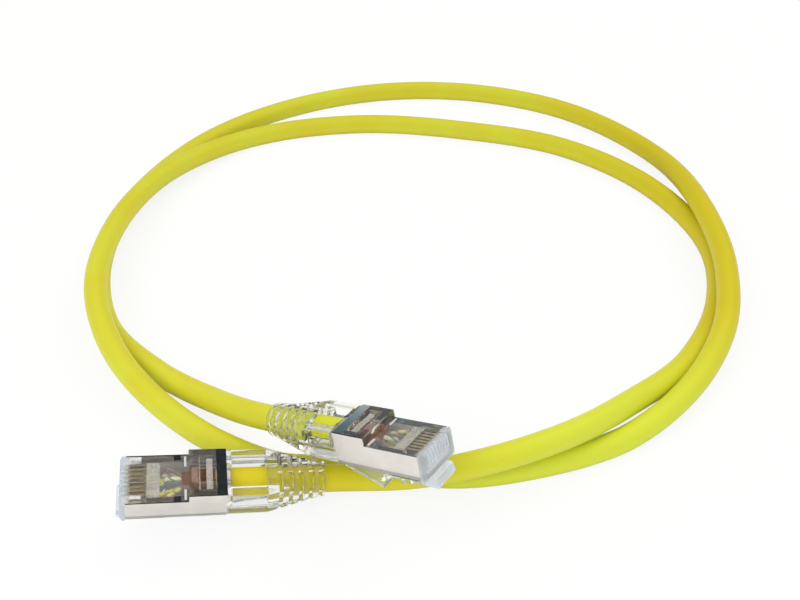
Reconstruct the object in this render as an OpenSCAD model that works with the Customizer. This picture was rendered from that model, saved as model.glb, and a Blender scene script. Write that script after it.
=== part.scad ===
// Shielded twisted-pair patch cable, laid down in two loops, with a modular plug and a boot on each end.
// Millimetres. The origin lies on the floor under the middle of the two plugs. +X is to the right,
// +Y runs from the plugs across the loops and +Z is up.
// In a plug's own frame the nose face is at x = 0, the body runs to -x, the latch is below z = 0
// and the contacts are on top.

/* [Plug] */
// Width of the plug over its shield
plug_w = 11.68; // [11.4:0.02:12]
// Length of the plug from its nose to its back face
plug_len = 21.5; // [21:0.1:22.5]
// Height of the nose block
nose_h = 5.95; // [5.85:0.05:6.5]
// Height of the raised back block
back_h = 7.9; // [7.3:0.05:8]
// Length of the raised back block
back_len = 7.7; // [6.9:0.1:7.8]
// Thickness of the shield's sheet
shield_t = 0.25; // [0.15:0.05:0.3]
// Distance from the nose to the shield's front edge
shield_setback = 1.2; // [0.8:0.1:2]
// Size of the bevel around the nose
nose_bevel = 0.5; // [0.2:0.1:0.6]

/* [Contacts and conductors] */
// Spacing of the contacts
contact_pitch = 1.016; // [1:0.004:1.02]
// Thickness of a contact blade
contact_t = 0.35; // [0.25:0.05:0.4]
// Length of a contact blade along the plug
contact_len = 4.1; // [3:0.1:5]
// Diameter of an insulated conductor
wire_d = 0.9; // [0.7:0.05:0.9]
// Height of the row of conductors above the plug's underside
wire_z = 2.3; // [2.1:0.05:2.4]

/* [Latch] */
// Width of the latch's shoulder
latch_w = 6.3; // [6:0.1:6.5]
// Width of the latch's tail
latch_tail_w = 3.25; // [3:0.05:3.5]
// Distance of the tail's tip behind the nose
latch_reach = 14.9; // [14:0.1:15.2]
// Drop of the tail's tip below the plug
latch_drop = 6; // [5.5:0.1:6.2]
// Thickness of the lever
latch_t = 0.9; // [0.7:0.1:1]

/* [Boot] */
// Length of the boot's square front
boot_front = 8.5; // [7.5:0.1:9]
// Length of the boot's tapered tail
boot_tail = 12; // [12:0.1:14]
// Diameter of the tail's end
boot_end_d = 7.5; // [7.4:0.1:8]
// Number of grooves in the tail
groove_count = 5; // [3:1:5]
// Spacing of the grooves
groove_pitch = 2.15; // [1.9:0.05:2.2]
// Width of a groove
groove_w = 0.9; // [0.5:0.05:1.1]
// Thickness of the boot's walls around its windows
boot_wall = 1.2; // [1:0.1:1.4]
// Thickness of the guard arm over the latch's tail
guard_t = 0.8; // [0.6:0.1:1]

/* [Cable] */
// Diameter over the jacket
cord_d = 5.9; // [5.4:0.1:6]
// Wall of the jacket
jacket_t = 0.75; // [0.6:0.05:0.8]
// Thickness of the braided screen
braid_t = 0.15; // [0.1:0.05:0.2]
// Diameter of a twisted pair
pair_d = 1.36; // [1:0.02:1.38]
// Diameter of the drain wire
drain_d = 0.5; // [0.3:0.1:0.6]

/* [Hidden] */

// Clearances: between fitted pieces, and round the cable
fit = 0.05;
cable_fit = 0.12;

// Where each plug's nose lies, and how it is turned about X, then Y, then Z
plug_a_at = [-34, -8.5, 8.5];
plug_a_turn = [-6, -9, 190];
plug_b_at = [32.3, -10.35, 20];
plug_b_turn = [-10, -18, -30];

// Inside the plug
axis_z = 3.9;
cable_end = 14.6;
contact_front = 1;
pin_count = 8;
wire_room = 0.2;
cavity_w = (pin_count - 1) * contact_pitch + wire_d + 2 * wire_room;
cavity_floor = 1.5;
cavity_roof = 5.45;
cavity_front = contact_front + contact_len + 0.2;
load_front = cavity_front + fit;
load_len = 2.6;
load_back = load_front + load_len;
pocket_floor = 1.2;
pocket_front = 0.8;
contact_recess = 0.4;
tooth_bite = 0.35;
window_back = 19;
window_front = 15.7;
window_w = cavity_w;
window_floor = axis_z + cord_d / 2 - 0.1;
bore_r = cord_d / 2 + cable_fit;
inner_w = plug_w - 2 * (shield_t + fit);
wire_top = wire_z + wire_d / 2;

// The shield's folds
strap_len = 2.1;
floor_front = 9;
lug_back = 12.2;
lug_front = 10.8;
lug_len = 1.5;
clamp_r = bore_r + fit;
clamp_len = 0.7;

// The braid folded back over the jacket, and the foil ahead of it
wrap_r = cord_d / 2 + fit;
wrap_t = 0.2;
wrap_back = 19.2;
foil_front = 12.4;
foil_t = 0.12;
bundle_step = wire_d + 0.1;
foil_w = 3 * bundle_step + wire_d + 4 * fit;
foil_h = 1.8 * bundle_step + wire_d + 2 * fit;

// The latch: its bending line, and the line of its lever in [x, z]
latch_hinge = [-0.9, -0.35];
latch_travel = 15;
latch_rest = [5.2, 2];
latch_root_t = 2.4;
latch_root = [[-1.9, -0.5], [-0.3, -0.15], [0.7, -0.4], [1.05, -0.3 - 0.75 * latch_root_t],
    [0.75, -0.3 - latch_root_t], [-latch_root_t, -0.35 - latch_root_t], [-latch_root_t, -1.5]];
shoulder_len = 8.2;
latch_line = [[-1.2, -2], [-4, -2.35], [-shoulder_len, -3.2], [-12.4, -4.25],
    [-latch_reach, -latch_drop + latch_t / 2]];

// The boot and its guard arm
boot_len = boot_front + boot_tail;
boot_back = plug_len + boot_len;
boot_corner = 1.2;
window_frame = 1;
window_lip = 0.2;
rail_w = 2;
rail_t = 0.8;
boot_rail = 1.65;
end_ring = 1.1;
groove_h = boot_end_d - 2 * boot_rail;
first_groove = plug_len + boot_front + 2.5;
guard_w = latch_tail_w;
guard_gap = 0.55;
guard_hinge = [-(plug_len + boot_front + 1), -1.3];
guard_ratio = 0.8;
guard_eye_r = 0.75;
guard_pin_r = 0.4;
pin_head_r = 0.7;
pin_head_t = 0.4;
ear_t = 0.8;
ear_len = 1.8;
guard_line = [guard_hinge, guard_hinge + [6.5, -1.5],
    [-latch_reach + 0.3, -latch_drop - guard_gap - guard_t / 2]];

// The cable's route between the boots, from plug b round both loops to plug a, as [x, y, layer]:
// on layer 0 the cable lies on the floor, and on layer 1 it lies on the cable below
route = [
    [-20, 23, 0.25], [-33.5, 32.5, 0], [-49.5, 48.5, 0], [-56.5, 66.5, 0], [-58, 89, 0],
    [-51.5, 113.5, 0], [-35.5, 139.5, 0], [-9.5, 159, 0], [21.5, 168.5, 0], [51.5, 167, 0],
    [81.5, 154, 0], [102, 130, 0.15], [109.5, 92, 1], [109.5, 65, 1], [104, 43.5, 0.8],
    [93, 26.5, 0.45], [74.5, 12, 0], [55.5, 5, 0], [35, 2, 0], [17.5, 5, 0], [-2, 4.5, 0],
    [-14, 9, 0.1], [-28.5, 18.5, 0.25], [-44, 34.5, 0.7], [-53.5, 55.5, 1.05], [-55, 80, 1],
    [-46.5, 112.5, 0.6], [-24.5, 138, 0.05], [8, 147, 0], [44, 143.5, 0], [76, 133, 0],
    [98.5, 112.5, 0], [110.5, 80, 0], [106.5, 57.5, 0], [94.5, 37, 0], [77.5, 21, 0.45],
    [60.5, 7.5, 1.05], [40, -0.5, 1.05], [28, -1.5, 0.7]];
axis_points = [cable_end, 30, 44];
layer_gap = 0.6;
lay_z = 0.4 * cord_d;
layer_step = cord_d + layer_gap;
tube_sides = 12;
core_sides = 6;
wire_sides = 8;
pair_offset = 1.02;
pair_twist = 30;

function unit(v) = v / norm(v);
function about_x(v, a) = [v.x, v.y * cos(a) - v.z * sin(a), v.y * sin(a) + v.z * cos(a)];
function about_y(v, a) = [v.x * cos(a) + v.z * sin(a), v.y, v.z * cos(a) - v.x * sin(a)];
function about_z(v, a) = [v.x * cos(a) - v.y * sin(a), v.x * sin(a) + v.y * cos(a), v.z];
function turned(v, a) = about_z(about_y(about_x(v, a.x), a.y), a.z);
function plug_at(s) = s == "a" ? plug_a_at : plug_b_at;
function plug_turn(s) = s == "a" ? plug_a_turn : plug_b_turn;
function latch_rest_of(s) = s == "a" ? latch_rest[0] : latch_rest[1];
function in_plug(s, v) = plug_at(s) + turned(v, plug_turn(s));
function reversed(list) = [for (i = [len(list) - 1:-1:0]) list[i]];

// The centre line: straight inside both boots, and a smooth curve through the route between them
function axis_of(s) = [for (x = axis_points) in_plug(s, [-x, 0, axis_z])];
way = concat(axis_of("b"), [for (p = route) [p.x, p.y, lay_z + p.z * layer_step]], reversed(axis_of("a")));
span = [for (i = [1:len(way) - 1]) norm(way[i] - way[i - 1])];
last_axis = len(axis_points) - 1;
last_way = len(way) - 1;
function heading(i) =
    i <= last_axis ? unit(way[1] - way[0]) :
    i >= last_way - last_axis ? unit(way[last_way] - way[last_way - 1]) :
    ((way[i] - way[i - 1]) * span[i] / span[i - 1] + (way[i + 1] - way[i]) * span[i - 1] / span[i])
    / (span[i - 1] + span[i]);
function along(i, t) =
    (2 * t * t * t - 3 * t * t + 1) * way[i] + (t * t * t - 2 * t * t + t) * span[i] * heading(i)
    + (3 * t * t - 2 * t * t * t) * way[i + 1] + (t * t * t - t * t) * span[i] * heading(i + 1);
function steps(i) = i < last_axis || i >= last_way - last_axis ? 1 : 2;
function raised(p, z) = [p.x, p.y, max(p.z, z)];
line = [for (i = [0:last_way - 1], k = [0:steps(i) - 1]) raised(along(i, k / steps(i)), lay_z),
    way[last_way]];

// The least distance between two stretches of the cable, away from each other along it
neighbours = 6;
function to_piece(p, a, b) = let (t = min(1, max(0, (p - a) * (b - a) / ((b - a) * (b - a)))))
    norm(p - a - t * (b - a));
least_gap = min([for (i = [0:len(line) - 1], j = [i + neighbours:1:len(line) - 2])
    to_piece(line[i], line[j], line[j + 1])]) - cord_d;
cable_length = let (l = [for (i = [1:len(line) - 1]) norm(line[i] - line[i - 1])]) l * [for (x = l) 1];

// The tightest bend: the least radius of a circle through a ring's centre and its two neighbours
function bend(p, q, v) = norm(q - p) * norm(v - q) * norm(p - v) / max(0.001, 2 * norm(cross(q - p, v - p)));
least_bend = min([for (i = [1:len(line) - 2]) bend(line[i - 1], line[i], line[i + 1])]);
echo(least_gap = least_gap, least_bend = least_bend, cable_length = cable_length, rings = len(line));

// Rings of points round a line, and the faces that join them
function direction(c, i) = unit(c[min(i + 1, len(c) - 1)] - c[max(i - 1, 0)]);
function ring(c, i, n, r, off, spin) = let (
    t = direction(c, i),
    side = unit(cross([0, 0, 1], t)),
    up = cross(t, side),
    o = c[i] + off * (side * cos(spin) + up * sin(spin)))
    [for (k = [0:n - 1]) raised(o + r * (side * cos(360 * k / n) + up * sin(360 * k / n)), 0)];
function wall(n, m, first) = [for (j = [0:m - 2], k = [0:n - 1], half = [0, 1]) let (
    a = first + j * n + k,
    b = first + j * n + (k + 1) % n)
    half == 0 ? [a, b + n, b] : [a, a + n, b + n]];
function flipped(faces) = [for (f = faces) [f[0], f[2], f[1]]];
function lid(n, first) = [for (k = [1:n - 2]) [first, first + k, first + k + 1]];
function rim(n, outer, inner) = [for (k = [0:n - 1], half = [0, 1]) let (l = (k + 1) % n)
    half == 0 ? [outer + k, outer + l, inner + l] : [outer + k, inner + l, inner + k]];

// A rod along a line, at a distance off from it that turns round it by spin degrees a ring
module rod(c, n, r, off = 0, start = 0, spin = 0) {
    m = len(c);
    polyhedron(
        points = [for (i = [0:m - 1]) each ring(c, i, n, r, off, start + i * spin)],
        faces = concat(wall(n, m, 0), lid(n, 0), flipped(lid(n, (m - 1) * n))));
}

// A tube along a line
module tube(c, n, r_out, r_in) {
    m = len(c);
    inside = m * n;
    polyhedron(
        points = concat([for (i = [0:m - 1]) each ring(c, i, n, r_out, 0, 0)],
            [for (i = [0:m - 1]) each ring(c, i, n, r_in, 0, 0)]),
        faces = concat(wall(n, m, 0), flipped(wall(n, m, inside)), rim(n, 0, inside),
            flipped(rim(n, (m - 1) * n, inside + (m - 1) * n))));
}

module in_pose(s) translate(plug_at(s)) rotate(plug_turn(s)) children();

// A box from its lowest corner to its highest
module block(low, high) translate(low) cube(high - low);

// A box of width w, centred across the plug
module across(x0, x1, w, z0, z1) block([x0, -w / 2, z0], [x1, w / 2, z1]);

// A round bar along the plug
module bar(x0, x1, r, z = axis_z, y = 0, fn = 48) {
    translate([x0, y, z]) rotate([0, 90, 0]) cylinder(h = x1 - x0, r = r, $fn = fn);
}

// A flat shape in x and z, of width w across the plug
module profile(w, y = 0) translate([0, y + w / 2, 0]) rotate([90, 0, 0]) linear_extrude(w) children();

function arc(c, r, from) = [for (k = [0:3]) c + r * [cos(from + 30 * k), sin(from + 30 * k)]];
function round_box(w, h, r) = concat(arc([w / 2 - r, r], r, -90), arc([w / 2 - r, h - r], r, 0),
    arc([r - w / 2, h - r], r, 90), arc([r - w / 2, r], r, 180));

// A strip of thickness t along a line in x and z
function strip(path, t) = concat([for (p = path) p + [0, t / 2]], [for (p = reversed(path)) p - [0, t / 2]]);

// The cable

module cable_jacket() color("#DEDC3C") tube(line, tube_sides, cord_d / 2, cord_d / 2 - jacket_t);

module cable_braid() color("#C8B090")
    tube(line, tube_sides, cord_d / 2 - jacket_t - fit, cord_d / 2 - jacket_t - fit - braid_t);

module drain_wire() color("#C9C9C9") rod(line, core_sides, drain_d / 2);

module pair(start, tint) color(tint) rod(line, core_sides, pair_d / 2, pair_offset, start, pair_twist);

// Pieces of a plug

module nose_block() difference() {
    across(-shield_setback, 0, plug_w, 0, nose_h);
    for (side = [-1, 1]) translate([0, side * plug_w / 2, 0]) rotate([0, 0, 45])
        cube([nose_bevel * sqrt(2), nose_bevel * sqrt(2), 4 * nose_h], center = true);
    for (z = [0, nose_h]) translate([0, 0, z]) rotate([0, 45, 0])
        cube([nose_bevel * sqrt(2), 2 * plug_w, nose_bevel * sqrt(2)], center = true);
}

module plug_housing(s) color("#D9E2E8", 0.5) in_pose(s) difference() {
    body_back = -plug_len + shield_t + fit;
    body_low = shield_t + fit;
    union() {
        nose_block();
        across(-floor_front + fit, -shield_setback / 2, inner_w, 0, nose_h);
        across(body_back, -floor_front + fit, inner_w, body_low, nose_h);
        across(body_back, -plug_len + back_len, inner_w, body_low, back_h);
    }
    bar(-plug_len - 1, -cable_end, bore_r);
    bar(-wrap_back - fit, -cable_end + foil_t + fit, wrap_r + wrap_t + fit);
    across(-cable_end - fit, -cavity_front, cavity_w, cavity_floor, cavity_roof);
    across(-cavity_front - fit, -pocket_front, cavity_w, pocket_floor, wire_top + fit);
    across(-window_back, -window_front, window_w, window_floor, back_h + 1);
    across(-plug_len - 1, -plug_len + strap_len + fit, plug_w, back_h - body_low, back_h + 1);
    for (n = [1:pin_count]) translate([0, pin_y(n), 0])
        across(-contact_front - contact_len - fit, 1, contact_t + 2 * fit, wire_top, nose_h + 1);
    for (side = [-1, 1]) translate([0, side * (plug_w / 2 - lug_len / 2), 0])
        across(-lug_back - fit, -lug_front + fit, lug_len + 2 * fit, nose_h - body_low, nose_h + 1);
}

function pin_y(n) = (4.5 - n) * contact_pitch;

module load_bar(s) color("#E8E4D8") in_pose(s) difference() {
    across(-load_back, -load_front, cavity_w - 2 * fit, cavity_floor + fit, cavity_roof - fit);
    for (n = [1:pin_count])
        bar(-load_back - 1, 0, wire_d / 2 + fit / 2, wire_z, pin_y(n), 24);
}

module shield(s) color("#C9C2BA") in_pose(s) {
    back = -plug_len;
    front = -shield_setback;
    difference() {
        union() {
            for (side = [-1, 1]) profile(shield_t, side * (plug_w - shield_t) / 2)
                polygon([[back, 0], [front, 0], [front, nose_h], [back + back_len, nose_h],
                    [back + back_len, back_h], [back, back_h]]);
            across(back, -floor_front, plug_w, 0, shield_t);
            across(back, back + strap_len, plug_w, back_h - shield_t, back_h);
            across(back, back + shield_t, plug_w, 0, back_h);
            for (side = [-1, 1]) translate([0, side * (plug_w - lug_len) / 2, 0])
                across(-lug_back, -lug_front, lug_len, nose_h - shield_t, nose_h);
            bar(back - clamp_len, back + shield_t, clamp_r + shield_t);
        }
        bar(back - clamp_len - 1, back + shield_t + 1, clamp_r);
    }
}

module screen_wrap(s) color("#8A5A44") in_pose(s) {
    foil_low = axis_z - foil_h / 2;
    foil_high = axis_z + foil_h / 2;
    difference() {
        union() {
            bar(-wrap_back, -cable_end + foil_t, wrap_r + wrap_t);
            across(-cable_end, -foil_front, foil_w + 2 * foil_t, foil_low - foil_t, foil_high + foil_t);
        }
        bar(-wrap_back - 1, -cable_end, wrap_r);
        across(-cable_end - 1, -foil_front + 1, foil_w, foil_low, foil_high);
    }
}

module boot_window(y0, y1, z0, z1)
    block([-plug_len - boot_front + window_lip, y0, z0], [-plug_len - window_frame, y1, z1]);

module boot(s) color("#E6E9DC", 0.5) in_pose(s) difference() {
    union() {
        translate([-plug_len - boot_front, 0, 0]) rotate([90, 0, 90])
            linear_extrude(boot_front) polygon(round_box(plug_w, back_h, boot_corner));
        hull() {
            translate([-plug_len - boot_front - fit, 0, 0]) rotate([90, 0, 90])
                linear_extrude(fit) polygon(round_box(plug_w, back_h, boot_corner));
            bar(-boot_back, -boot_back + end_ring, boot_end_d / 2, boot_end_d / 2, 0, 32);
        }
        for (side = [-1, 1]) translate([0, side * (guard_w / 2 + fit + ear_t / 2), 0]) profile(ear_t)
            translate(guard_hinge + [-ear_len / 2, -ear_len / 2]) square([ear_len, 1.5 * ear_len]);
    }
    bar(-boot_back - 1, 0, bore_r);
    bar(-plug_len - clamp_len - fit, -plug_len, clamp_r + shield_t + fit);
    boot_window(rail_w - plug_w / 2, plug_w / 2 - rail_w, axis_z + boot_wall, back_h + 1);
    for (side = [0, 1]) mirror([0, side, 0])
        boot_window(bore_r - boot_wall, plug_w, axis_z, back_h - rail_t);
    for (i = [0:groove_count - 1], corner = [45:90:315])
        translate([-first_groove - i * groove_pitch, 0, axis_z]) rotate([corner, 0, 0])
            block([-groove_w / 2, 0, -groove_h / 2], [groove_w / 2, plug_w, groove_h / 2]);
    profile(2 * plug_w) translate(guard_hinge) circle(r = guard_pin_r + fit, $fn = 24);
}

module about_hinge(hinge, angle) translate([hinge[0], 0, hinge[1]]) rotate([0, angle, 0])
    translate([-hinge[0], 0, -hinge[1]]) children();

module latch(s) color("#E3EBEF", 0.6) in_pose(s) about_hinge(latch_hinge, latch_rest_of(s)) {
    profile(latch_w) polygon(latch_root);
    profile(latch_w) polygon(strip([for (i = [0:2]) latch_line[i]], latch_t));
    profile(latch_tail_w) polygon(strip([for (i = [2:4]) latch_line[i]], latch_t));
}

module latch_guard(s) color("#E3EBEF", 0.6) in_pose(s)
    about_hinge(guard_hinge, -guard_ratio * latch_rest_of(s)) {
        profile(guard_w) translate(guard_hinge) circle(r = guard_eye_r, $fn = 24);
        profile(guard_w) polygon(strip(guard_line, guard_t));
        pin_w = guard_w + 2 * (fit + ear_t + fit + pin_head_t);
        profile(pin_w) translate(guard_hinge) circle(r = guard_pin_r, $fn = 24);
        for (side = [-1, 1]) profile(pin_head_t, side * (pin_w - pin_head_t) / 2)
            translate(guard_hinge) circle(r = pin_head_r, $fn = 24);
    }

module contact(s, n) color("#B08D3C") in_pose(s) profile(contact_t, pin_y(n)) {
    back = -contact_front - contact_len;
    top = nose_h - contact_recess;
    foot = wire_top + fit;
    tooth = contact_len / 5;
    polygon([[back, foot], [back, top - 0.3], [back + 0.3, top], [-contact_front - 0.3, top],
        [-contact_front, top - 0.3], [-contact_front, foot], [-contact_front - tooth, foot],
        [-contact_front - 1.5 * tooth, foot - fit - tooth_bite], [-contact_front - 2 * tooth, foot],
        [-contact_front - 3 * tooth, foot], [-contact_front - 3.5 * tooth, foot - fit - tooth_bite],
        [-contact_front - 4 * tooth, foot]]);
}

// Pins 1 to 8: where each conductor leaves the cable's core in [y, z], in steps of the bundle
bundle = [[1.5, 0.5], [1.5, -0.5], [0.5, -0.9], [0.5, 0.9], [-0.5, 0.9], [-0.5, -0.9], [-1.5, -0.5],
    [-1.5, 0.5]];
wire_tints = ["#F0D8B8", "#E07A20", "#D8ECC0", "#2A5FC0", "#C8DCF0", "#3C9A3C", "#E0D0BC", "#7A4A28"];
function conductor_line(s, n) = let (
    y0 = bundle[n - 1][0] * bundle_step,
    z0 = axis_z + bundle[n - 1][1] * bundle_step,
    y1 = pin_y(n))
    [for (p = [[-cable_end + 0.1, y0, z0], [-foil_front, y0, z0], [-load_back - 1.5, y1, z0],
        [-load_back - 0.3, y1, wire_z], [-contact_front - 0.1, y1, wire_z]]) in_plug(s, p)];

module conductor(s, n) color(wire_tints[n - 1]) rod(conductor_line(s, n), wire_sides, wire_d / 2);

cable_jacket();
cable_braid();
drain_wire();
pair(0, "#2A5FC0");  // pair_blue
pair(90, "#E07A20");  // pair_orange
pair(180, "#3C9A3C");  // pair_green
pair(270, "#7A4A28");  // pair_brown
for (s = ["a", "b"]) {
    plug_housing(s);
    load_bar(s);
    shield(s);
    screen_wrap(s);
    boot(s);
    latch(s);
    latch_guard(s);
    for (n = [1:pin_count]) {
        contact(s, n);
        conductor(s, n);
    }
}
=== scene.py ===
"""Dresses a shielded patch cable that lies in two loops, with a clear plug and a clear boot on each end."""

import math

import bmesh
import bpy
from mathutils import Euler, Matrix, Vector


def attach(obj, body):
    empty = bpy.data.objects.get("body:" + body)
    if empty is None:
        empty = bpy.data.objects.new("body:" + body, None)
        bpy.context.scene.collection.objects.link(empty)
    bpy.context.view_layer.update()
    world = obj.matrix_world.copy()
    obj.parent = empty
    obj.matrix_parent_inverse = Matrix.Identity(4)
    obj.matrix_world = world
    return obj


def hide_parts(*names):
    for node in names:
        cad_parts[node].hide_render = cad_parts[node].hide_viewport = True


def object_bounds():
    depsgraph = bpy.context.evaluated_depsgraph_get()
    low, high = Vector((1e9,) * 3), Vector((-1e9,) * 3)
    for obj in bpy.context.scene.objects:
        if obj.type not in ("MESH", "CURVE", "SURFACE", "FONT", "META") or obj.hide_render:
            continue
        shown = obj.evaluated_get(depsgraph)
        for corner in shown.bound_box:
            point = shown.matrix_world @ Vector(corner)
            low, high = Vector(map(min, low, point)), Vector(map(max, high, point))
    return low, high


bl_info = {
    "name": "Patch Cable Dressing",
    "version": (1, 0, 0),
    "blender": (4, 5, 0),
    "location": "View3D > Sidebar > Patch Cable",
    "description": "Builds the jacket, twisted pairs, boots and finishes of a shielded patch cable",
    "category": "Object",
}

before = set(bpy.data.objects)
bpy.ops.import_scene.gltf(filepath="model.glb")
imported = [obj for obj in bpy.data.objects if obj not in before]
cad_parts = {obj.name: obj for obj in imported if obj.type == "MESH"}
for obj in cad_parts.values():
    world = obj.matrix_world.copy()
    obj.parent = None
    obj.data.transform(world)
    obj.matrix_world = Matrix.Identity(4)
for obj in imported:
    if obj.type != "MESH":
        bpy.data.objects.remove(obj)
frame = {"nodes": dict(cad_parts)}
cad_low, cad_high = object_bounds()

ROOT = "cable_and_plugs"
SIDES = ("a", "b")
PINS = range(1, 9)

# The nose of each plug in metres, and its turn about X, Y and Z in degrees
PLUG_AT = {"a": (-0.034, -0.0085, 0.0085), "b": (0.0323, -0.01035, 0.02)}
PLUG_TURN = {"a": (-6, -9, 190), "b": (-10, -18, -30)}

# In a plug's own frame: the nose is at x = 0, the body runs to -x, and the cable lies on the height AXIS_Z
AXIS_Z = 0.0039
CABLE_END = 0.0146
PLUG_W = 0.01168
PLUG_LEN = 0.0215
NOSE_H = 0.00595
BACK_H = 0.0079
BACK_LEN = 0.0077
GUARD_HINGE = (-0.031, -0.0013)
GUARD_W = 0.00325
CLAMP_R = 0.00312
CLAMP_LEN = 0.0007
WRAP_R = 0.0032
GRIP = 0.00007
BOOT_FRONT = 0.0085
BOOT_TAIL = 0.012
BOOT_END_D = 0.0075
BOOT_REAR = PLUG_LEN + BOOT_FRONT + BOOT_TAIL
WINDOW_FRAME = 0.001
WINDOW_LIP = 0.0002
RAIL_W = 0.002
RAIL_T = 0.0008
SLOT_FLOOR = 0.002
GAP = 0.00005
EAR_R = 0.0009
EAR_HALF = 0.0004
EAR_RISE = 0.0018
PIN_R = 0.00045

# The cable's end is pressed flat from above between these places along the plug, over PRESS_BLEND at the rear
PRESS_REAR = -0.0190
PRESS_FRONT = -0.010
PRESS_BLEND = 0.001
PRESS_ROOM = 0.005
PRESSED_JACKET = 0.0064
PRESSED_SCREEN = 0.00565
PRESSED_FOLD = 0.0066

# The folded braid: places along the plug and distances from its axis, and the flat collar in front of it
FOLD_SIDES = 48
FOLD_PROFILE = (
    (-0.0192, WRAP_R - 0.0002),
    (-0.0192, WRAP_R - 0.00005),
    (-0.019, WRAP_R + GRIP),
    (-0.0165, WRAP_R + GRIP),
    (-0.0150, WRAP_R + GRIP),
    (-0.0143, WRAP_R + GRIP),
    (-0.0142, WRAP_R - 0.0002),
)
COLLAR_X = (-0.0138, -0.0124)
COLLAR_W = 0.00436
COLLAR_HALF = 0.00157
COLLAR_CORNER = 0.0007

# Small moulded blocks in each housing, from their lowest to their highest corner
CLAMP_BLOCKS = {
    "clamp_bar": ((-0.01865, -0.0038, 0.00676), (-0.01735, 0.0038, 0.00720)),
    "clamp_rib": ((-0.01608, -0.0040, 0.00676), (-0.01590, 0.0040, 0.0074)),
    "lug_rib_left": ((-0.0134, 0.00275, 0.00575), (-0.0129, 0.0053, 0.0061)),
    "lug_rib_right": ((-0.0134, -0.0053, 0.00575), (-0.0129, -0.00275, 0.0061)),
}

# The shield, along the plug: its front edge, the fronts of its lower openings, and its lugs
SHIELD_FRONT = -0.0012
BELLY_X = -0.009
BELLY_HALF = 0.0036
MOUTH_X = -0.0042
LIP_Z = 0.003
LUG_X = (-0.0122, -0.0108)
LUG_W = 0.0015
CLEAR = 0.01

# The cable's route from plug b round both loops to plug a, as x and y in metres and a layer:
# on layer 0 it lies on the floor, and on layer 1 on the cable below
ROUTE = [
    (-0.0200, 0.0230, 0.25), (-0.0335, 0.0325, 0), (-0.0495, 0.0485, 0), (-0.0565, 0.0665, 0),
    (-0.0580, 0.0890, 0), (-0.0515, 0.1135, 0), (-0.0355, 0.1395, 0), (-0.0095, 0.1590, 0),
    (0.0215, 0.1685, 0), (0.0515, 0.1670, 0), (0.0815, 0.1540, 0), (0.1020, 0.1300, 0.15),
    (0.1095, 0.0920, 1), (0.1095, 0.0650, 1), (0.1040, 0.0435, 0.8), (0.0930, 0.0265, 0.45),
    (0.0745, 0.0120, 0), (0.0555, 0.0050, 0), (0.0350, 0.0020, 0), (0.0175, 0.0050, 0),
    (-0.0020, 0.0045, 0), (-0.0140, 0.0090, 0.1), (-0.0285, 0.0185, 0.25), (-0.0440, 0.0345, 0.7),
    (-0.0535, 0.0555, 1.05), (-0.0550, 0.0800, 1), (-0.0465, 0.1125, 0.6), (-0.0245, 0.1380, 0.05),
    (0.0080, 0.1470, 0), (0.0440, 0.1435, 0), (0.0760, 0.1330, 0), (0.0985, 0.1125, 0),
    (0.1105, 0.0800, 0), (0.1065, 0.0575, 0), (0.0945, 0.0370, 0), (0.0775, 0.0210, 0.45),
    (0.0605, 0.0075, 1.05), (0.0400, -0.0005, 1.05), (0.0280, -0.0015, 0.7),
]
STRAIGHT = (CABLE_END, 0.030, 0.044)
LAYER_GAP = 0.0006


# Sizes and colours

def length(name, text, value, low=0.0, high=1.0):
    return bpy.props.FloatProperty(name=name, description=text, default=value, min=low, max=high,
                                   precision=5, subtype="DISTANCE", unit="LENGTH")


def colour(name, text, value):
    return bpy.props.FloatVectorProperty(name=name, description=text, default=value, size=3, min=0, max=1,
                                         subtype="COLOR")


def share(name, text, value, high=1.0):
    return bpy.props.FloatProperty(name=name, description=text, default=value, min=0, max=high)


class CordSettings(bpy.types.PropertyGroup):
    """Sizes and colours of the cable."""

    diameter: length("Diameter", "Diameter over the jacket", 0.0059)
    wall: length("Wall", "Wall of the jacket", 0.00075)
    screen: length("Screen", "Outer radius of the braided screen", 0.00215)
    drain: length("Drain wire", "Radius of the drain wire", 0.00025)
    pair_d: length("Pair", "Diameter of a twisted pair", 0.00136)
    pair_offset: length("Pair offset", "Distance of a pair from the cable's axis", 0.00102)
    pair_lay: length("Lay", "Length in which the four pairs turn once about each other", 0.15)
    pair_twist: length("Twist", "Length in which a pair's two wires turn once", 0.014)
    jacket: colour("Jacket", "Colour of the jacket", (0.70, 0.66, 0.03))
    # Painted light: the jacket's greener colour along the front, where light falls.
    painted_light_tint: colour("Faded", "Colour of the jacket along the front", (0.70, 0.75, 0.04))
    # Painted shade: the jacket's warmer, darker colour along the right and near one end.
    painted_shade_tint: colour("Deep", "Colour of the jacket along the right", (0.66, 0.55, 0.007))


class PlugSettings(bpy.types.PropertyGroup):
    """Finishes of the two plugs."""

    housing: colour("Housing", "Tint of the clear housing", (0.95, 0.94, 0.92))
    frost: colour("Frost", "Colour of the frosted nose", (0.84, 0.88, 0.95))
    plating: colour("Plating", "Colour of the shield's plating", (0.82, 0.775, 0.74))
    # Painted shade: the inside faces of the shield's sheet are darker and browner than its plating.
    inside_shade: colour("Lining", "Colour of the sheet inside the shield", (0.36, 0.31, 0.26))
    gold: colour("Gold", "Colour of the contacts", (0.76, 0.57, 0.31))
    braid: colour("Braid", "Colour of the folded braid", (0.23, 0.10, 0.052))
    sheet: length("Sheet", "Thickness of the shield's sheet", 0.00025)
    fold: length("Fold", "Outer radius of the shield's lower folds", 0.0008)
    strap: length("Strap", "Length of the shield's strap over the back block", 0.0021)
    edge: length("Edge", "Radius of the housing's edges", 0.0001)


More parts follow.
